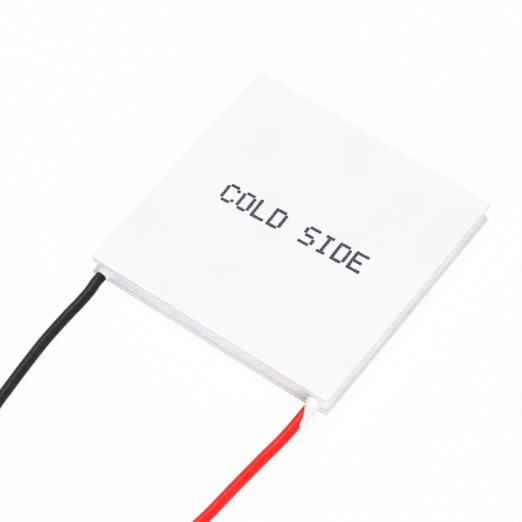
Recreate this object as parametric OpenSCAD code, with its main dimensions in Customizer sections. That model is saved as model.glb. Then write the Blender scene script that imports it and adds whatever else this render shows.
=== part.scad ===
// Thermoelectric cooling module: two square ceramic plates with a field of semiconductor pellets
// between them, copper tabs that join the pellets into one series circuit, a silicone bead round
// the edge, and two insulated leads that are soldered to the hot plate's corner tabs.
// Millimetres. +Z runs up through the module, hot side down and cold side up, +X from the black
// lead to the red one, and the leads leave towards -Y. The origin is the centre of the hot face.

/* [Plates] */
// Side of the two square ceramic plates
plate_w = 40; // [37:0.5:50]
// Thickness of each ceramic plate
plate_t = 0.8; // [0.5:0.05:1.2]
// Small chamfer at the four upright corners of a plate
plate_corner = 0.2; // [0.05:0.05:0.5]
// Rim between the edge of a plate and the outermost tabs
rim_w = 1.25; // [1:0.05:2]

/* [Pellets and tabs] */
// Pairs of pellet places along each side of the field
cell_pairs = 8; // [4:1:9]
// Side of a square pellet
pellet_w = 1.4; // [1.2:0.1:1.6]
// Height of a pellet
pellet_h = 1.5; // [1.4:0.1:3]
// How far a tab reaches past its pellets on every side
tab_lip = 0.2; // [0.1:0.05:0.25]
// Thickness of the copper tabs
tab_t = 0.3; // [0.2:0.05:0.5]
// Thickness of the solder under and over a pellet, and under a lead's core
solder_t = 0.05; // [0.03:0.01:0.1]
// How far the solder reaches past the pellet on every side
solder_lip = 0.05; // [0:0.01:0.1]

/* [Edge seal] */
// How far the bead lies behind the edge of the hot plate
seal_inset_hot = 0.25; // [0.1:0.05:0.6]
// How far the bead lies behind the edge of the cold plate
seal_inset_cold = 0.65; // [0.3:0.05:0.8]
// Depth of the hollow in the face of the bead
seal_hollow = 0.12; // [0:0.02:0.2]
// How far the silicone dab at each lead stands out past the edge of the plates
dab_out = 0.55; // [0.3:0.05:0.8]
// How far the dab reaches over the black lead's insulation
black_dab_cover = 0.4; // [0.2:0.1:1]
// How far the dab reaches along the side of the red lead's insulation
red_dab_cover = 3.9; // [1.5:0.1:5]
// How far the red lead's dab leans to one side of it
red_dab_lean = 0.7; // [0.3:0.05:0.8]

/* [Leads] */
// Outer diameter of the insulation
lead_d = 1.6; // [1.2:0.1:2.2]
// Diameter of the tinned core
core_d = 0.76; // [0.5:0.02:1]
// Bare core between the edge of the plates and the insulation
core_bare = 0.3; // [0.2:0.1:1]
// Gap between the soldered end of the core and the first pellet
core_gap = 0.4; // [0.2:0.1:0.6]
// Width of the solder fillet where it meets the tab
fillet_w = 1.6; // [1.3:0.1:1.8]
// Thickness of the solder over the core
fillet_film = 0.1; // [0.05:0.05:0.15]
// Length of the stripped and tinned end of each lead
tip_l = 7; // [4:0.5:10]

/* [Coils] */
// Diameter of a coil between its inner and its outer turns
coil_d = 19; // [14:0.5:20]

/* [Hidden] */

BLACK = -1;
RED = 1;
FULL_TURN = 360;
ARC_FN = 48;
BLOB_FN = 24;
LEAD_SIDES = 8;
BEAD_STEPS = 6;

// The stack, from the hot face up
hot_tab_z = plate_t;
hot_solder_z = hot_tab_z + tab_t;
pellet_z = hot_solder_z + solder_t;
cold_solder_z = pellet_z + pellet_h;
cold_tab_z = cold_solder_z + solder_t;
cold_plate_z = cold_tab_z + tab_t;
gap_z = (plate_t + cold_plate_z) / 2;
edge = plate_w / 2;
field_edge = edge - rim_w;

// The field of pellets fills what the rim leaves
cells = 2 * round(cell_pairs);
last = cells - 1;
tab_w = pellet_w + 2 * tab_lip;
pitch = (2 * field_edge - tab_w) / last;
tab_l = pitch + tab_w;

// The leads lie on the two front corner tabs and leave over the edge of the hot plate
lead_r = lead_d / 2;
core_r = core_d / 2;
core_z = hot_solder_z + solder_t + core_r;
core_y = place(1) - pellet_w / 2 - core_gap;
exit_y = -edge - core_bare;

// Routes are given from where they start, along X and Y. The third number of a point is the
// height of the lead there, as a share of the way from where it lies up to where it started.
BLACK_ROUTE = [
    [0, 0, 1], [0, -1.5, 1], [0.15, -3, 0.85], [0.1, -5, 0.5], [-0.1, -7.5, 0.12],
    [-0.15, -10, 0], [-0.1, -13, 0], [0.1, -16, 0], [0.35, -19, 0], [0.65, -22, 0],
    [0.95, -24.8, 0], [1.6, -27.4, 0], [2.8, -29.6, 0], [4.3, -31.4, 0], [5.6, -33.3, 0],
    [6.1, -35.6, 0], [6.1, -37, 0]
];
RED_ROUTE = [
    [0, 0, 1], [0, -1.5, 1], [-0.05, -3, 0.85], [-0.15, -5, 0.5], [-0.4, -7.5, 0.12],
    [-0.7, -10, 0], [-0.95, -13, 0], [-1.2, -16, 0], [-1.4, -19, 0], [-1.65, -22, 0],
    [-2.2, -25, 0], [-3.6, -27.6, 0], [-5.8, -29.6, 0], [-8.3, -31.2, 0], [-10.4, -33.2, 0],
    [-11.7, -35.2, 0], [-12.1, -37, 0], [-12.1, -38.2, 0]
];
// A tail runs on from its coil's upper turn, down to where the lead lies. X is away from the
// other lead.
TAIL_ROUTE = [
    [0, 0, 1], [0, 1.5, 1], [-0.05, 3.2, 0.8], [-0.15, 5, 0.45], [-0.25, 6.6, 0.15],
    [-0.3, 8, 0], [-0.3, 9.5, 0], [-0.25, 11, 0]
];

// A coil is two turns wide and two turns high. The lead joins its outer, lower turn and leaves
// on the far side from its outer, upper turn, each by a short straight stub that lies a little
// inside the turn.
stub_inset = 0.05;
stub_l = 6;
coil_r = coil_d / 2;
stub_x = coil_r + lead_r - stub_inset;
coil_low_z = lead_r;
coil_high_z = lead_r + lead_d;

function place(i) = (i - last / 2) * pitch;
function is_terminal(i, j) = j == 0 && (i == 0 || i == last);
function lead_colour(side) = side == BLACK ? "black" : "red";
function lead_x(side) = side * place(last);
function lead_route(side) = side == BLACK ? BLACK_ROUTE : RED_ROUTE;

// The points of a route that starts at [x, y] and comes down to the floor from a height
function routed(route, x, y, height, out = 1) = [
    for (p = route) [x + out * p[0], y + p[1], lead_r + p[2] * (height - lead_r)]
];
function lead_points(side) = routed(lead_route(side), lead_x(side), exit_y, core_z);
function lead_end(side) = lead_points(side)[len(lead_route(side)) - 1];
function coil_x(side) = lead_end(side)[0] + side * stub_x;
function coil_y(side) = lead_end(side)[1] - stub_l;
function tail_points(side) =
    routed(TAIL_ROUTE, coil_x(side) + side * stub_x, coil_y(side) + stub_l, coil_high_z, side);

// A tube of LEAD_SIDES flats swept along points that never stand upright
function unit(v) = v / norm(v);
function ahead(points, i) =
    unit(points[min(i + 1, len(points) - 1)] - points[max(i - 1, 0)]);
function tube_ring(center, along, r) =
    let (across = unit(cross(along, [0, 0, 1])), up = cross(across, along))
    [
        for (k = [0 : LEAD_SIDES - 1])
            let (a = (k + 0.5) * FULL_TURN / LEAD_SIDES)
            center + r * (cos(a) * across + sin(a) * up)
    ];

module tube(points, r) {
    rings = [for (i = [0 : len(points) - 1]) tube_ring(points[i], ahead(points, i), r)];
    n = LEAD_SIDES;
    top = (len(points) - 1) * n;
    walls = [
        for (i = [0 : len(points) - 2], k = [0 : n - 1])
            let (a = i * n + k, b = i * n + (k + 1) % n)
            each [[a, b, b + n], [a, b + n, a + n]]
    ];
    caps = [
        [for (k = [n - 1 : -1 : 0]) k],
        [for (k = [0 : n - 1]) top + k]
    ];
    polyhedron(points = [for (ring = rings) each ring], faces = concat(walls, caps), convexity = 4);
}

// A straight stretch of the same tube that runs along +Y
module stub(x, y, z) {
    translate([x, y, z])
        rotate([-90, FULL_TURN / LEAD_SIDES / 2, 0])
        cylinder(r = lead_r, h = stub_l, $fn = LEAD_SIDES);
}

module plate(z) {
    c = plate_corner;
    translate([0, 0, z])
        linear_extrude(plate_t)
        polygon([
            [-edge + c, -edge], [edge - c, -edge], [edge, -edge + c], [edge, edge - c],
            [edge - c, edge], [-edge + c, edge], [-edge, edge - c], [-edge, -edge + c]
        ]);
}

module hot_side_plate() {
    color("whitesmoke")
        plate(0);
}

module cold_side_plate() {
    color("white")
        plate(cold_plate_z);
}

// A tab over two neighbouring places, from (i, j) along Y or along X
module tab(i, j, z, along_x = false) {
    size_x = along_x ? tab_l : tab_w;
    size_y = along_x ? tab_w : tab_l;
    translate([place(i) - tab_w / 2, place(j) - tab_w / 2, z])
        cube([size_x, size_y, tab_t]);
}

module hot_side_tabs() {
    color("peru")
        for (i = [0 : last], j = [0 : 2 : last - 1])
            if (!is_terminal(i, j))
                tab(i, j, hot_tab_z);
}

// The cold tabs join each column's pellets, and cross to the next column at its ends
module cold_side_tabs() {
    color("peru") {
        for (i = [0 : last], j = [1 : 2 : last - 2])
            tab(i, j, cold_tab_z);
        for (i = [0 : 2 : last - 1])
            tab(i, last, cold_tab_z, along_x = true);
        for (i = [1 : 2 : last - 2])
            tab(i, 0, cold_tab_z, along_x = true);
    }
}

module terminal_tab(side) {
    color("darkgoldenrod")
        tab(side == BLACK ? 0 : last, 0, hot_tab_z);
}

// A square block on a pellet's place
module block(i, j, z, width, height) {
    translate([place(i) - width / 2, place(j) - width / 2, z])
        cube([width, width, height]);
}

// Pellets stand in a checkerboard of the two kinds, with the two terminal places left empty
module pellets(kind) {
    color(kind == 0 ? "dimgray" : "slategray")
        for (i = [0 : last], j = [0 : last])
            if ((i + j) % 2 == kind && !is_terminal(i, j))
                block(i, j, pellet_z, pellet_w, pellet_h);
}

module solder(z) {
    color("silver")
        for (i = [0 : last], j = [0 : last])
            if (!is_terminal(i, j))
                block(i, j, z, pellet_w + 2 * solder_lip, solder_t);
}

// Section of the bead: distance outwards from its inner face, then height
function bead_face(s) =
    rim_w - seal_inset_hot - (seal_inset_cold - seal_inset_hot) * s - 4 * seal_hollow * s * (1 - s);
function bead_section() = concat(
    [[0, cold_plate_z], [0, plate_t]],
    [
        for (k = [0 : BEAD_STEPS])
            let (s = k / BEAD_STEPS)
            [bead_face(s), plate_t + s * (cold_plate_z - plate_t)]
    ]
);

// The bead runs along each side and turns round each corner
module bead() {
    for (quarter = [0 : 3])
        rotate([0, 0, quarter * FULL_TURN / 4]) {
            translate([field_edge, 0, 0])
                rotate([90, 0, 0])
                linear_extrude(2 * field_edge, center = true)
                polygon(bead_section());
            translate([field_edge, field_edge, 0])
                rotate_extrude(angle = FULL_TURN / 4, $fn = ARC_FN)
                polygon(bead_section());
        }
}

module core(side) {
    translate([lead_x(side), exit_y, core_z])
        rotate([-90, 0, 0])
        cylinder(r = core_r, h = core_y - exit_y, $fn = ARC_FN);
}

module edge_seal() {
    color("snow")
        difference() {
            bead();
            core(BLACK);
            core(RED);
        }
}

// A dab of silicone that stops the gap round a lead and runs out over the insulation
module lead_seal(side) {
    gap_r = 0.6 * (cold_plate_z - plate_t);
    collar_r = 1.2 * lead_r;
    cover = side == BLACK ? black_dab_cover : red_dab_cover;
    lean = side == BLACK ? 0 : red_dab_lean;
    tongue_r = (side == BLACK ? 0.9 : 0.55) * lead_r;
    tongue_y = exit_y - cover + tongue_r;
    points = lead_points(side);
    tongue_z = lookup(-tongue_y, [for (p = points) [-p[1], p[2]]]) + lean / 4;
    color("snow")
        difference() {
            hull() {
                translate([lead_x(side), -edge - dab_out + gap_r, gap_z])
                    sphere(r = gap_r, $fn = BLOB_FN);
                translate([lead_x(side), -edge - dab_out + collar_r / 2, core_z])
                    sphere(r = collar_r, $fn = BLOB_FN);
                translate([lead_x(side) + lean, tongue_y, tongue_z])
                    sphere(r = tongue_r, $fn = BLOB_FN);
            }
            plate(0);
            plate(cold_plate_z);
            bead();
            translate([-field_edge, -field_edge, 0])
                cube([2 * field_edge, 2 * field_edge, cold_plate_z]);
            core(side);
            tube(points, lead_r);
        }
}

// A fillet of solder that holds the core down on its tab
module lead_solder(side) {
    hollow_r = (fillet_w - core_d) / 2 - fillet_film;
    center_z = core_z - hot_solder_z;
    color("silver")
        translate([lead_x(side), core_y, hot_solder_z])
        rotate([90, 0, 0])
        linear_extrude(core_y + field_edge)
        difference() {
            union() {
                translate([0, center_z])
                    circle(r = core_r + fillet_film, $fn = ARC_FN);
                translate([-fillet_w / 2, 0])
                    square([fillet_w, center_z]);
            }
            translate([0, center_z])
                circle(r = core_r, $fn = ARC_FN);
            for (flank = [-1, 1])
                translate([flank * fillet_w / 2, hollow_r + fillet_film])
                    circle(r = hollow_r, $fn = ARC_FN);
            translate([-fillet_w / 2, -fillet_w])
                square([fillet_w, fillet_w]);
        }
}

module lead_core(side) {
    color("lightgray")
        core(side);
}

module lead(side) {
    color(lead_colour(side))
        tube(lead_points(side), lead_r);
}

// The outer shape of the wound lead: a ring of four turns, and the two stubs that join it
module lead_coil(side) {
    color(lead_colour(side)) {
        translate([coil_x(side), coil_y(side), 0])
            rotate_extrude($fn = 2 * ARC_FN)
            translate([coil_r, 0]) {
                for (x = [-lead_r, lead_r], z = [coil_low_z, coil_high_z])
                    translate([x, z])
                        circle(r = lead_r, $fn = ARC_FN);
                translate([-lead_d, lead_r])
                    square([2 * lead_d, lead_d]);
                translate([-lead_r, 0])
                    square([lead_d, 2 * lead_d]);
            }
        stub(coil_x(side) - side * stub_x, coil_y(side), coil_low_z);
        stub(coil_x(side) + side * stub_x, coil_y(side), coil_high_z);
    }
}

module lead_tail(side) {
    color(lead_colour(side))
        tube(tail_points(side), lead_r);
}

// The stripped and tinned end of a lead
module lead_tip(side) {
    points = tail_points(side);
    end = len(points) - 1;
    heading = ahead(points, end);
    color("lightgray")
        translate(points[end])
        rotate([0, 90, atan2(heading[1], heading[0])])
        cylinder(r = core_r, h = tip_l, $fn = ARC_FN);
}

hot_side_plate();
cold_side_plate();
hot_side_tabs();
cold_side_tabs();
terminal_tab(BLACK);  // negative_terminal_tab
terminal_tab(RED);  // positive_terminal_tab
solder(hot_solder_z);  // hot_side_solder
solder(cold_solder_z);  // cold_side_solder
pellets(0);  // n_type_pellets
pellets(1);  // p_type_pellets
edge_seal();
lead_seal(BLACK);  // black_lead_seal
lead_solder(BLACK);  // black_lead_solder
lead_core(BLACK);  // black_lead_core
lead(BLACK);  // black_lead
lead_coil(BLACK);  // black_lead_coil
lead_tail(BLACK);  // black_lead_tail
lead_tip(BLACK);  // black_lead_tip
lead_seal(RED);  // red_lead_seal
lead_solder(RED);  // red_lead_solder
lead_core(RED);  // red_lead_core
lead(RED);  // red_lead
lead_coil(RED);  // red_lead_coil
lead_tail(RED);  // red_lead_tail
lead_tip(RED);  // red_lead_tip
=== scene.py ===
"""Looks of a thermoelectric cooling module: ceramic plates, silicone seal, print and leads."""

import math

import bmesh
import bpy
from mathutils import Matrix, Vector, noise


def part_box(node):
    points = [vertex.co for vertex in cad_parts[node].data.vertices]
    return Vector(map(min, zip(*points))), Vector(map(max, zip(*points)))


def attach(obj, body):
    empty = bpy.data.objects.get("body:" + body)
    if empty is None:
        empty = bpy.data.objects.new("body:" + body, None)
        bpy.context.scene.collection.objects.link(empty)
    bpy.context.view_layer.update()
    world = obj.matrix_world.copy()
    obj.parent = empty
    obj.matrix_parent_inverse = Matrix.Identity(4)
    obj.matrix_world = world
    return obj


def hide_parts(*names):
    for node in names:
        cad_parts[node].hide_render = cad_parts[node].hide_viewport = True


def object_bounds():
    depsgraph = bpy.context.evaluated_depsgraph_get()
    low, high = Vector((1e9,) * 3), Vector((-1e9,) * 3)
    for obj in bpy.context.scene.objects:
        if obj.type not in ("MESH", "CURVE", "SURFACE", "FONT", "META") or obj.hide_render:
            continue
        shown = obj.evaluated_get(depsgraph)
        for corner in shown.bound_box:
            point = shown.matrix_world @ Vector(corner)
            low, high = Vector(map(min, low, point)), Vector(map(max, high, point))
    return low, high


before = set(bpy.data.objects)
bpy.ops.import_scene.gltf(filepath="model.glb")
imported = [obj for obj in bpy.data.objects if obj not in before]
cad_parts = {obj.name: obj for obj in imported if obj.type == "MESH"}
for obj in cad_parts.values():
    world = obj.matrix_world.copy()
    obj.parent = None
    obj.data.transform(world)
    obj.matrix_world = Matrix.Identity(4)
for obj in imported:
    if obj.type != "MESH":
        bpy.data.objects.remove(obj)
cad_low, cad_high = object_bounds()

MM = 0.001
SIDES = {"black": -1, "red": 1}

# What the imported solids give
plate_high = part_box("hot_side_plate")[1]
cold_low, cold_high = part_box("cold_side_plate")
seal_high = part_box("edge_seal")[1]
EDGE = plate_high.x
GAP_LOW = plate_high.z
GAP_HIGH = cold_low.z
FACE_Z = cold_high.z
LEAD_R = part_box("red_lead_coil")[1].z / 4
CORE_R = (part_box("red_lead_core")[1].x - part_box("red_lead_core")[0].x) / 2


def middle(node):
    low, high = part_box(node)
    return (low + high) / 2


# ---------------------------------------------------------------- camera

CAMERA_AIM = Vector((-0.00198, -0.00473, 0))
CAMERA_DISTANCE = 0.3668
CAMERA_AZIMUTH = math.radians(35.92)
CAMERA_ELEVATION = math.radians(56.08)
CAMERA_LENS = 180.4


def make_camera():
    level = math.cos(CAMERA_ELEVATION)
    back = Vector((
        math.sin(CAMERA_AZIMUTH) * level,
        -math.cos(CAMERA_AZIMUTH) * level,
        math.sin(CAMERA_ELEVATION),
    ))
    data = bpy.data.cameras.new("camera")
    data.lens = CAMERA_LENS
    camera = bpy.data.objects.new("camera", data)
    bpy.context.collection.objects.link(camera)
    camera.location = CAMERA_AIM + CAMERA_DISTANCE * back
    camera.rotation_mode = "QUATERNION"
    camera.rotation_quaternion = (-back).to_track_quat("-Z", "Y")
    bpy.context.scene.camera = camera


make_camera()

# ---------------------------------------------------------------- leads

# Each point of a route is given from where the route starts, in metres along X and Y. The third
# number is the height of the lead there, as a share of the way from the floor up to the start.
LEAD_ROUTES = {
    "black": [
        (0, 0, 1), (0, -0.0015, 1), (0.00015, -0.003, 0.85), (0.0001, -0.005, 0.5),
        (-0.0001, -0.0075, 0.12), (-0.00015, -0.01, 0), (-0.0001, -0.013, 0), (0.0001, -0.016, 0),
        (0.00035, -0.019, 0), (0.00065, -0.022, 0), (0.00095, -0.0248, 0), (0.0016, -0.0274, 0),
        (0.0028, -0.0296, 0), (0.0043, -0.0314, 0), (0.0056, -0.0333, 0), (0.0061, -0.0356, 0),
        (0.0061, -0.037, 0),
    ],
    "red": [
        (0, 0, 1), (0, -0.0015, 1), (-0.00005, -0.003, 0.85), (-0.00015, -0.005, 0.5),
        (-0.0004, -0.0075, 0.12), (-0.0007, -0.01, 0), (-0.00095, -0.013, 0),
        (-0.0012, -0.016, 0), (-0.0014, -0.019, 0), (-0.00165, -0.022, 0), (-0.0022, -0.025, 0),
        (-0.0036, -0.0276, 0), (-0.0058, -0.0296, 0), (-0.0083, -0.0312, 0),
        (-0.0104, -0.0332, 0), (-0.0117, -0.0352, 0), (-0.0121, -0.037, 0), (-0.0121, -0.0382, 0),
    ],
}
TAIL_ROUTE = [
    (0, 0, 1), (0, 0.0015, 1), (-0.00005, 0.0032, 0.8), (-0.00015, 0.005, 0.45),
    (-0.00025, 0.0066, 0.15), (-0.0003, 0.008, 0), (-0.0003, 0.0095, 0), (-0.00025, 0.011, 0),
]

# The wound length runs three and a half turns, from the outer lower turn to the inner lower one,
# then up to the inner upper one and out to the outer upper one. Angles are in degrees of winding.
WOUND_END = 1260
WOUND_STEP = 18
CROSSING = 50
IN_AT = 310
UP_AT = 620
OUT_AT = 930


def eased(angle, start):
    """0 before start, 1 a crossing later, and smooth between."""
    share = min(max((angle - start) / CROSSING, 0), 1)
    return share * share * (3 - 2 * share)


def routed(route, start, out=1):
    return [
        Vector((start.x + out * x, start.y + y, LEAD_R + share * (start.z - LEAD_R)))
        for x, y, share in route
    ]


def wound(name, side):
    """The points of the coil, which lies in the outer shape that the solid gives."""
    low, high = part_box(f"{name}_lead_coil")
    centre = (low + high) / 2
    outer = (high.x - low.x) / 2 - LEAD_R
    points = []
    for angle in range(0, WOUND_END + 1, WOUND_STEP):
        r = outer - 2 * LEAD_R * (eased(angle, IN_AT) - eased(angle, OUT_AT))
        z = LEAD_R + 2 * LEAD_R * eased(angle, UP_AT)
        a = math.radians(angle)
        points.append(Vector((
            centre.x - side * r * math.cos(a), centre.y - r * math.sin(a), z
        )))
    return points


def lead_path(name, side):
    core = middle(f"{name}_lead_core")
    exit_point = Vector((core.x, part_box(f"{name}_lead_core")[0].y, core.z))
    coil = wound(name, side)
    tail_start = Vector((coil[-1].x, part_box(f"{name}_lead_tail")[0].y, coil[-1].z))
    run = routed(LEAD_ROUTES[name], exit_point)
    tail = routed(TAIL_ROUTE, tail_start, side)
    return run + [(run[-1] + coil[0]) / 2] + coil + [(coil[-1] + tail[0]) / 2] + tail


def make_lead(name, side):
    """The insulated lead from where it leaves the module to its stripped end."""
    points = lead_path(name, side)
    data = bpy.data.curves.new(f"{name}_lead_insulation", "CURVE")
    data.dimensions = "3D"
    data.bevel_depth = 1
    data.bevel_resolution = 10
    data.resolution_u = 6
    data.use_fill_caps = True
    spline = data.splines.new("BEZIER")
    spline.bezier_points.add(len(points) - 1)
    before = [points[0]] + points[:-1]
    after = points[1:] + [points[-1]]
    for knot, last, point, following in zip(spline.bezier_points, before, points, after):
        heading = (following - last).normalized()
        knot.co = point
        knot.handle_left = point - heading * (point - last).length / 3
        knot.handle_right = point + heading * (following - point).length / 3
        knot.radius = LEAD_R * (1 - 0.012 * abs(noise.noise(point / (3 * MM))))
    lead = bpy.data.objects.new(data.name, data)
    bpy.context.collection.objects.link(lead)
    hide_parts(f"{name}_lead", f"{name}_lead_coil", f"{name}_lead_tail")
    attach(lead, "root")
    return lead, points


STRANDS_ROUND = 6
STRAND_R = CORE_R / 3
STRAND_TURN = 5.5 * MM
STRAND_SIDES = 8
TIP_STEPS = 40
TIN_FROM = 0.88


def make_tip(name, points):
    """The stripped end: six strands twisted round one, which close up where they are tinned."""
    start = points[-1]
    along = (points[-1] - points[-2]).normalized()
    across = along.cross(Vector((0, 0, 1))).normalized()
    up = across.cross(along)
    low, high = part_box(f"{name}_lead_tip")
    length = (high.y - low.y - 2 * CORE_R * abs(along.x)) / abs(along.y)
    mesh = bmesh.new()
    for strand in range(STRANDS_ROUND + 1):
        offset = 0 if strand == STRANDS_ROUND else 2 * STRAND_R
        rings = []
        for step in range(TIP_STEPS + 1):
            t = step / TIP_STEPS
            turn = 2 * math.pi * (strand / STRANDS_ROUND + t * length / STRAND_TURN)
            spread = 1 - 0.5 * eased(t * CROSSING, TIN_FROM * CROSSING)
            centre = (
                start + along * t * length
                + offset * spread * (math.cos(turn) * across + math.sin(turn) * up)
            )
            ring = []
            for k in range(STRAND_SIDES):
                a = 2 * math.pi * k / STRAND_SIDES
                ring.append(mesh.verts.new(
                    centre + STRAND_R * (math.cos(a) * across + math.sin(a) * up)
                ))
            rings.append(ring)
        for a, b in zip(rings, rings[1:]):
            for k in range(STRAND_SIDES):
                n = (k + 1) % STRAND_SIDES
                mesh.faces.new((a[k], a[n], b[n], b[k]))
        mesh.faces.new(list(reversed(rings[0])))
        mesh.faces.new(rings[-1])
    return mesh_piece(f"{name}_lead_strands", mesh, "tinned_copper", f"{name}_lead_tip")


def mesh_piece(name, mesh, slot, *nodes, flat=False):
    """A piece of the object made from a bmesh, which replaces the nodes. A flat one faces as it is."""
    data = bpy.data.meshes.new(name)
    if not flat:
        bmesh.ops.recalc_face_normals(mesh, faces=mesh.faces)
    mesh.to_mesh(data)
    mesh.free()
    for face in data.polygons:
        face.use_smooth = not flat
    piece = bpy.data.objects.new(name, data)
    bpy.context.collection.objects.link(piece)
    if nodes:
        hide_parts(*nodes)
    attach(piece, "root")
    return piece


# ---------------------------------------------------------------- silicone

BEAD_STEP = 0.25 * MM
BEAD_ROWS = 10
BEAD_CORNER = 1.1 * MM
BEAD_BACK = 1.2 * MM
BEAD_HOT_INSET = 0.4 * (EDGE - seal_high.x)
BEAD_COLD_INSET = 0.65 * MM
BEAD_HOLLOW = 0.12 * MM
LUMP_DEPTH = 0.09 * MM
LUMP_LENGTH = 3.1 * MM
RIPPLE_DEPTH = 0.035 * MM
RIPPLE_LENGTH = 0.8 * MM


def bead_depth(share, s):
    """How far the bead's face lies behind the plates' edge, at a share of the gap's height."""
    lumps = LUMP_DEPTH * noise.noise(Vector((s / LUMP_LENGTH, 1.3 * share, 0)))
    ripples = RIPPLE_DEPTH * noise.noise(Vector((s / RIPPLE_LENGTH, 2 * share, 7)))
    lean = BEAD_HOT_INSET + (BEAD_COLD_INSET - BEAD_HOT_INSET) * share
    hollow = 4 * BEAD_HOLLOW * share * (1 - share)
    return lean + hollow + (lumps + ripples) * math.sin(math.pi * share)


def rounded_square(half, r):
    """(point, outward) pairs round a square with rounded corners, a step apart."""
    walk = []
    straight = 2 * (half - r)
    n = round(straight / BEAD_STEP)
    m = max(6, round(r * math.pi / 2 / BEAD_STEP))
    for quarter in range(4):
        turn = quarter * math.pi / 2
        out = Vector((math.cos(turn), math.sin(turn), 0))
        along = Vector((-out.y, out.x, 0))
        for k in range(n):
            walk.append((out * half + along * (k / n - 0.5) * straight, out))
        centre = out * (half - r) + along * (half - r)
        for k in range(m):
            a = turn + k / m * math.pi / 2
            way = Vector((math.cos(a), math.sin(a), 0))
            walk.append((centre + way * r, way))
    return walk


def make_bead():
    mesh = bmesh.new()
    rings = []
    s = 0
    last = None
    for point, out in rounded_square(EDGE, BEAD_CORNER):
        if last is not None:
            s += (point - last).length
        last = point
        ring = []
        for row in range(BEAD_ROWS + 1):
            share = row / BEAD_ROWS
            place = point - out * bead_depth(share, s)
            place.z = GAP_LOW + share * (GAP_HIGH - GAP_LOW)
            ring.append(mesh.verts.new(place))
        for z in (GAP_HIGH, GAP_LOW):
            place = point - out * BEAD_BACK
            place.z = z
            ring.append(mesh.verts.new(place))
        rings.append(ring)
    for a, b in zip(rings, rings[1:] + rings[:1]):
        for k in range(len(a)):
            n = (k + 1) % len(a)
            mesh.faces.new((a[k], b[k], b[n], a[n]))
    return mesh_piece("edge_seal_bead", mesh, "silicone", "edge_seal")


# ---------------------------------------------------------------- print

# Rows of dots from the top down, five to a letter
LETTERS = {
    "C": ("01110", "10001", "10000", "10000", "10000", "10001", "01110"),
    "O": ("01110", "10001", "10001", "10001", "10001", "10001", "01110"),
    "L": ("10000", "10000", "10000", "10000", "10000", "10000", "11111"),
    "D": ("11110", "10001", "10001", "10001", "10001", "10001", "11110"),
    "S": ("01111", "10000", "10000", "01110", "00001", "00001", "11110"),
    "I": ("01110", "00100", "00100", "00100", "00100", "00100", "01110"),
    "E": ("11111", "10000", "10000", "11110", "10000", "10000", "11111"),
    " ": ("00000",) * 7,
}
PRINT_WORDS = "COLD SIDE"
PRINT_CENTRE = Vector((-0.0001, 0.0004, 0))
PRINT_TURN = math.radians(2.5)
LETTER_PITCH = 2.65 * MM
DOT_PITCH_X = 0.42 * MM
DOT_PITCH_Y = 0.46 * MM
DOT_R = 0.28 * MM
DOT_SIDES = 14
DOT_STRAY = 0.03 * MM
INK_T = 0.004 * MM
INK_STEP = 0.0015 * MM


def make_print():
    mesh = bmesh.new()
    width = LETTER_PITCH * (len(PRINT_WORDS) - 1) + 4 * DOT_PITCH_X
    along = Vector((math.cos(PRINT_TURN), math.sin(PRINT_TURN), 0))
    up = Vector((-along.y, along.x, 0))
    for i, letter in enumerate(PRINT_WORDS):
        for j, row in enumerate(LETTERS[letter]):
            for k, dot in enumerate(row):
                if dot == "0":
                    continue
                x = i * LETTER_PITCH + k * DOT_PITCH_X - width / 2
                y = (3 - j) * DOT_PITCH_Y
                place = PRINT_CENTRE + along * x + up * y
                stray = noise.noise_vector(place / (0.3 * MM)) * DOT_STRAY
                # Neighbours overlap, so they lie at four slightly different heights
                z = FACE_Z + INK_T + INK_STEP * (2 * (j % 2) + k % 2)
                r = DOT_R * (1 + 0.12 * noise.noise(place / (0.2 * MM)))
                ring = [
                    mesh.verts.new(Vector((
                        place.x + stray.x + r * math.cos(2 * math.pi * n / DOT_SIDES),
                        place.y + stray.y + r * math.sin(2 * math.pi * n / DOT_SIDES),
                        z,
                    )))
                    for n in range(DOT_SIDES)
                ]
                mesh.faces.new(ring)
    return mesh_piece("cold_side_print", mesh, "alumina", flat=True)


# ---------------------------------------------------------------- materials

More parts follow.
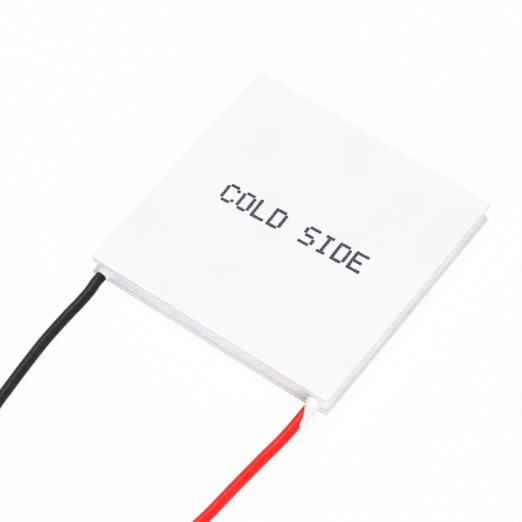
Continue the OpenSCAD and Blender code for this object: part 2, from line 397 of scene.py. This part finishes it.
class Graph:
    """A material's nodes, made one call at a time."""

    def __init__(self, name):
        self.material = bpy.data.materials.new(name)
        self.material.use_nodes = True
        self.nodes = self.material.node_tree.nodes
        self.links = self.material.node_tree.links
        self.shader = self.nodes["Principled BSDF"]
        self.place = self.nodes.new("ShaderNodeTexCoord").outputs["Object"]

    def set(self, **values):
        for name, value in values.items():
            self.shader.inputs[name.replace("_", " ")].default_value = value

    def join(self, source, socket):
        self.links.new(source, socket)

    def noise(self, size, detail=2.0, stretch=None):
        """Noise whose features are about size metres across."""
        node = self.nodes.new("ShaderNodeTexNoise")
        node.inputs["Scale"].default_value = 1 / size
        node.inputs["Detail"].default_value = detail
        place = self.place
        if stretch:
            scale = self.nodes.new("ShaderNodeMapping")
            scale.inputs["Scale"].default_value = stretch
            self.join(place, scale.inputs["Vector"])
            place = scale.outputs["Vector"]
        self.join(place, node.inputs["Vector"])
        return node.outputs["Fac"]

    def ramp(self, source, low, high, colour_low, colour_high):
        node = self.nodes.new("ShaderNodeValToRGB")
        node.color_ramp.elements[0].position = low
        node.color_ramp.elements[1].position = high
        node.color_ramp.elements[0].color = (*colour_low, 1)
        node.color_ramp.elements[1].color = (*colour_high, 1)
        self.join(source, node.inputs["Fac"])
        return node.outputs["Color"]

    def span(self, source, low, high, to_low, to_high):
        node = self.nodes.new("ShaderNodeMapRange")
        node.inputs["From Min"].default_value = low
        node.inputs["From Max"].default_value = high
        node.inputs["To Min"].default_value = to_low
        node.inputs["To Max"].default_value = to_high
        self.join(source, node.inputs["Value"])
        return node.outputs["Result"]

    def math(self, operation, a, b=None):
        node = self.nodes.new("ShaderNodeMath")
        node.operation = operation
        for socket, value in zip(node.inputs, (a, b)):
            if isinstance(value, (int, float)):
                socket.default_value = value
            elif value is not None:
                self.join(value, socket)
        return node.outputs["Value"]

    def mix(self, share, a, b):
        node = self.nodes.new("ShaderNodeMix")
        node.data_type = "RGBA"
        self.join(share, node.inputs["Factor"])
        for socket, value in ((node.inputs[6], a), (node.inputs[7], b)):
            if isinstance(value, tuple):
                socket.default_value = (*value, 1)
            else:
                self.join(value, socket)
        return node.outputs[2]

    def bump(self, source, depth, strength=1.0, under=None):
        node = self.nodes.new("ShaderNodeBump")
        node.inputs["Strength"].default_value = strength
        node.inputs["Distance"].default_value = depth
        self.join(source, node.inputs["Height"])
        if under:
            self.join(under, node.inputs["Normal"])
        return node.outputs["Normal"]

    def finish(self, colour=None, roughness=None, normal=None):
        for name, source in (("Base Color", colour), ("Roughness", roughness), ("Normal", normal)):
            if source is not None:
                self.join(source, self.shader.inputs[name])
        return self.material


def linear(r, g, b):
    """The linear colour of an 8-bit display colour."""
    return tuple(
        c / 255 / 12.92 if c / 255 <= 0.04045 else ((c / 255 + 0.055) / 1.055) ** 2.4
        for c in (r, g, b)
    )


SCRIBE_DEPTH = 0.3 * MM


def alumina(name, scribed_z):
    """White fired alumina, with the marks of the scribe on its sides, close to scribed_z."""
    g = Graph(name)
    g.set(Roughness=0.5, Specular_IOR_Level=0.25)
    cloud = g.ramp(g.noise(6 * MM, 3), 0.35, 0.65, linear(246, 246, 247), linear(249, 249, 250))
    split = g.nodes.new("ShaderNodeSeparateXYZ")
    g.join(g.place, split.inputs["Vector"])
    geometry = g.nodes.new("ShaderNodeNewGeometry")
    facing = g.nodes.new("ShaderNodeSeparateXYZ")
    g.join(geometry.outputs["Normal"], facing.inputs["Vector"])
    flank = g.math("LESS_THAN", g.math("ABSOLUTE", facing.outputs["Z"]), 0.5)
    from_scribe = g.math("ABSOLUTE", g.math("SUBTRACT", split.outputs["Z"], scribed_z))
    scribed = g.math("MULTIPLY", flank, g.math("LESS_THAN", from_scribe, SCRIBE_DEPTH))
    teeth = g.noise(0.1 * MM, 1, stretch=(1, 1, 0.1))
    burnt = g.math("MULTIPLY", scribed, g.span(teeth, 0.35, 0.65, 0.25, 1))
    colour = g.mix(burnt, cloud, linear(222, 221, 223))
    roughness = g.span(g.noise(1.2 * MM, 3), 0.3, 0.7, 0.44, 0.56)
    grain = g.bump(g.noise(0.09 * MM, 3), 0.004 * MM, 0.5)
    relief = g.bump(g.math("MULTIPLY", flank, teeth), 0.04 * MM, 1.0, grain)
    return g.finish(colour, roughness, relief)


def silicone():
    g = Graph("white_silicone")
    g.set(Roughness=0.42, Specular_IOR_Level=0.4, Subsurface_Weight=0.15, Subsurface_Scale=0.4 * MM)
    colour = g.ramp(g.noise(2.5 * MM, 3), 0.3, 0.7, linear(240, 239, 246), linear(249, 248, 252))
    roughness = g.span(g.noise(0.8 * MM, 2), 0.3, 0.7, 0.34, 0.5)
    relief = g.bump(g.noise(0.35 * MM, 3), 0.02 * MM, 0.6)
    return g.finish(colour, roughness, relief)


def insulation(name, dark, pale, shine, depth):
    """Extruded insulation, with faint streaks along it and a fine skin."""
    g = Graph(name)
    g.set(Roughness=shine, Specular_IOR_Level=0.28)
    colour = g.ramp(g.noise(1.4 * MM, 3), 0.3, 0.7, dark, pale)
    roughness = g.span(g.noise(0.6 * MM, 3), 0.3, 0.7, shine - 0.07, shine + 0.07)
    skin = g.bump(g.noise(0.14 * MM, 3), 0.25 * depth, 0.8)
    relief = g.bump(g.noise(0.7 * MM, 2), depth, 0.8, skin)
    return g.finish(colour, roughness, relief)


def metal(name, colour_low, colour_high, shine, grain):
    g = Graph(name)
    g.set(Metallic=1.0, Roughness=shine)
    colour = g.ramp(g.noise(8 * grain, 2), 0.3, 0.7, colour_low, colour_high)
    roughness = g.span(g.noise(3 * grain, 2), 0.3, 0.7, shine - 0.08, shine + 0.1)
    relief = g.bump(g.noise(grain, 3), 0.1 * grain, 0.5)
    return g.finish(colour, roughness, relief)


def ink():
    g = Graph("dark_ink")
    g.set(Roughness=0.55)
    colour = g.ramp(g.noise(0.25 * MM, 3), 0.3, 0.75, linear(20, 22, 44), linear(46, 50, 76))
    relief = g.bump(g.noise(0.1 * MM, 2), 0.005 * MM, 0.5)
    return g.finish(colour, None, relief)


WORN_EDGE = 0.05 * MM
JOIN_WITHIN = 0.001 * MM


def paint(obj, material):
    """The object shows this material on all its faces."""
    obj.data.materials.clear()
    obj.data.materials.append(material)


def dress(node, material):
    """A solid shows this material in every slot it has."""
    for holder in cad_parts[node].material_slots:
        holder.material = material


def soften(node):
    """The hard edges of a plate are worn round a little, so that they catch the light."""
    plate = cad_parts[node]
    joined = plate.modifiers.new("joined_faces", "WELD")
    joined.merge_threshold = JOIN_WITHIN
    edges = plate.modifiers.new("worn_edges", "BEVEL")
    edges.width = WORN_EDGE
    edges.segments = 2
    edges.limit_method = "ANGLE"


# ---------------------------------------------------------------- floor and light

WHITE = (1.0, 1.0, 1.0, 1.0)
FLOOR_WHITE = (0.92, 0.92, 0.92, 1.0)
FLOOR_HALF = 3
FLOOR_GAP = 0.01 * MM
SKY = 0.58
FLOOR_GLOW = 0.94


def seen_directly(tree):
    """1 for rays that show the background itself: from the camera, off gloss and through glass."""
    path = tree.nodes.new("ShaderNodeLightPath")
    total = path.outputs["Is Camera Ray"]
    for name in ("Is Glossy Ray", "Is Transmission Ray"):
        node = tree.nodes.new("ShaderNodeMath")
        node.operation = "MAXIMUM"
        tree.links.new(total, node.inputs[0])
        tree.links.new(path.outputs[name], node.inputs[1])
        total = node.outputs["Value"]
    return total


def make_world():
    world = bpy.data.worlds.new("studio")
    bpy.context.scene.world = world
    world.use_nodes = True
    tree = world.node_tree
    sky = tree.nodes["Background"]
    sky.inputs["Color"].default_value = WHITE
    sky.inputs["Strength"].default_value = SKY
    backdrop = tree.nodes.new("ShaderNodeBackground")
    backdrop.inputs["Color"].default_value = WHITE
    mix = tree.nodes.new("ShaderNodeMixShader")
    tree.links.new(seen_directly(tree), mix.inputs["Fac"])
    tree.links.new(sky.outputs["Background"], mix.inputs[1])
    tree.links.new(backdrop.outputs["Background"], mix.inputs[2])
    tree.links.new(mix.outputs["Shader"], tree.nodes["World Output"].inputs["Surface"])


def make_floor():
    mesh = bmesh.new()
    bmesh.ops.create_grid(mesh, x_segments=1, y_segments=1, size=FLOOR_HALF)
    data = bpy.data.meshes.new("floor")
    mesh.to_mesh(data)
    mesh.free()
    floor = bpy.data.objects.new("floor", data)
    bpy.context.collection.objects.link(floor)
    floor.location.z = cad_low.z - FLOOR_GAP
    material = bpy.data.materials.new("floor")
    material.use_nodes = True
    tree = material.node_tree
    surface = tree.nodes["Principled BSDF"]
    surface.inputs["Base Color"].default_value = FLOOR_WHITE
    surface.inputs["Roughness"].default_value = 1
    surface.inputs["Specular IOR Level"].default_value = 0
    glow = tree.nodes.new("ShaderNodeEmission")
    glow.inputs["Color"].default_value = WHITE
    share = tree.nodes.new("ShaderNodeMath")
    share.operation = "MULTIPLY"
    share.inputs[1].default_value = FLOOR_GLOW
    tree.links.new(seen_directly(tree), share.inputs[0])
    mix = tree.nodes.new("ShaderNodeMixShader")
    tree.links.new(share.outputs["Value"], mix.inputs["Fac"])
    tree.links.new(surface.outputs["BSDF"], mix.inputs[1])
    tree.links.new(glow.outputs["Emission"], mix.inputs[2])
    tree.links.new(mix.outputs["Shader"], tree.nodes["Material Output"].inputs["Surface"])
    floor.data.materials.append(material)


def make_lamp(name, place, size, power, glossy=True):
    """A round lamp aimed at the object. One that isn't glossy lights it without a reflection."""
    data = bpy.data.lights.new(name, "AREA")
    data.shape = "DISK"
    data.size = size
    data.energy = power
    lamp = bpy.data.objects.new(name, data)
    bpy.context.collection.objects.link(lamp)
    lamp.location = place
    lamp.visible_glossy = glossy
    lamp.rotation_mode = "QUATERNION"
    lamp.rotation_quaternion = (-Vector(place)).to_track_quat("-Z", "Y")


# ---------------------------------------------------------------- the whole

ALUMINA_COLD = alumina("white_alumina_cold", FACE_Z)
ALUMINA_HOT = alumina("white_alumina_hot", 0.0)
SILICONE = silicone()
INSULATION = {
    "black": insulation("black_insulation", (0.002, 0.002, 0.0025), (0.009, 0.009, 0.010),
                        0.36, 0.1 * MM),
    "red": insulation("red_insulation", linear(238, 22, 22), linear(252, 34, 32),
                      0.36, 0.015 * MM),
}
TIN = metal("tinned_copper", (0.62, 0.62, 0.63), (0.80, 0.80, 0.80), 0.24, 0.08 * MM)
SOLDER = metal("bright_solder", (0.50, 0.50, 0.52), (0.70, 0.70, 0.71), 0.3, 0.15 * MM)
COPPER = metal("copper_tab", (0.80, 0.38, 0.24), (0.92, 0.50, 0.34), 0.32, 0.1 * MM)
N_ALLOY = metal("n_type_alloy", (0.12, 0.12, 0.13), (0.30, 0.30, 0.31), 0.42, 0.06 * MM)
P_ALLOY = metal("p_type_alloy", (0.16, 0.16, 0.18), (0.38, 0.38, 0.41), 0.38, 0.06 * MM)

for name, side in SIDES.items():
    lead, points = make_lead(name, side)
    paint(lead, INSULATION[name])
    strands = make_tip(name, points)
    paint(strands, TIN)
    dress(f"{name}_lead_core", TIN)
    dress(f"{name}_lead_solder", SOLDER)
    dress(f"{name}_lead_seal", SILICONE)

dress("hot_side_plate", ALUMINA_HOT)
dress("cold_side_plate", ALUMINA_COLD)
soften("hot_side_plate")
soften("cold_side_plate")
paint(make_bead(), SILICONE)
paint(make_print(), ink())
for node in ("hot_side_tabs", "cold_side_tabs", "negative_terminal_tab", "positive_terminal_tab"):
    dress(node, COPPER)
for node in ("hot_side_solder", "cold_side_solder"):
    dress(node, SOLDER)
dress("n_type_pellets", N_ALLOY)
dress("p_type_pellets", P_ALLOY)

make_world()
make_floor()
make_lamp("softbox", (-0.3, 0.2, 0.9), 0.22, 3.1)
make_lamp("fill", (0.55, -0.62, 0.3), 0.5, 2.4, glossy=False)
bpy.context.scene.view_settings.view_transform = "Standard"

bpy.context.view_layer.update()
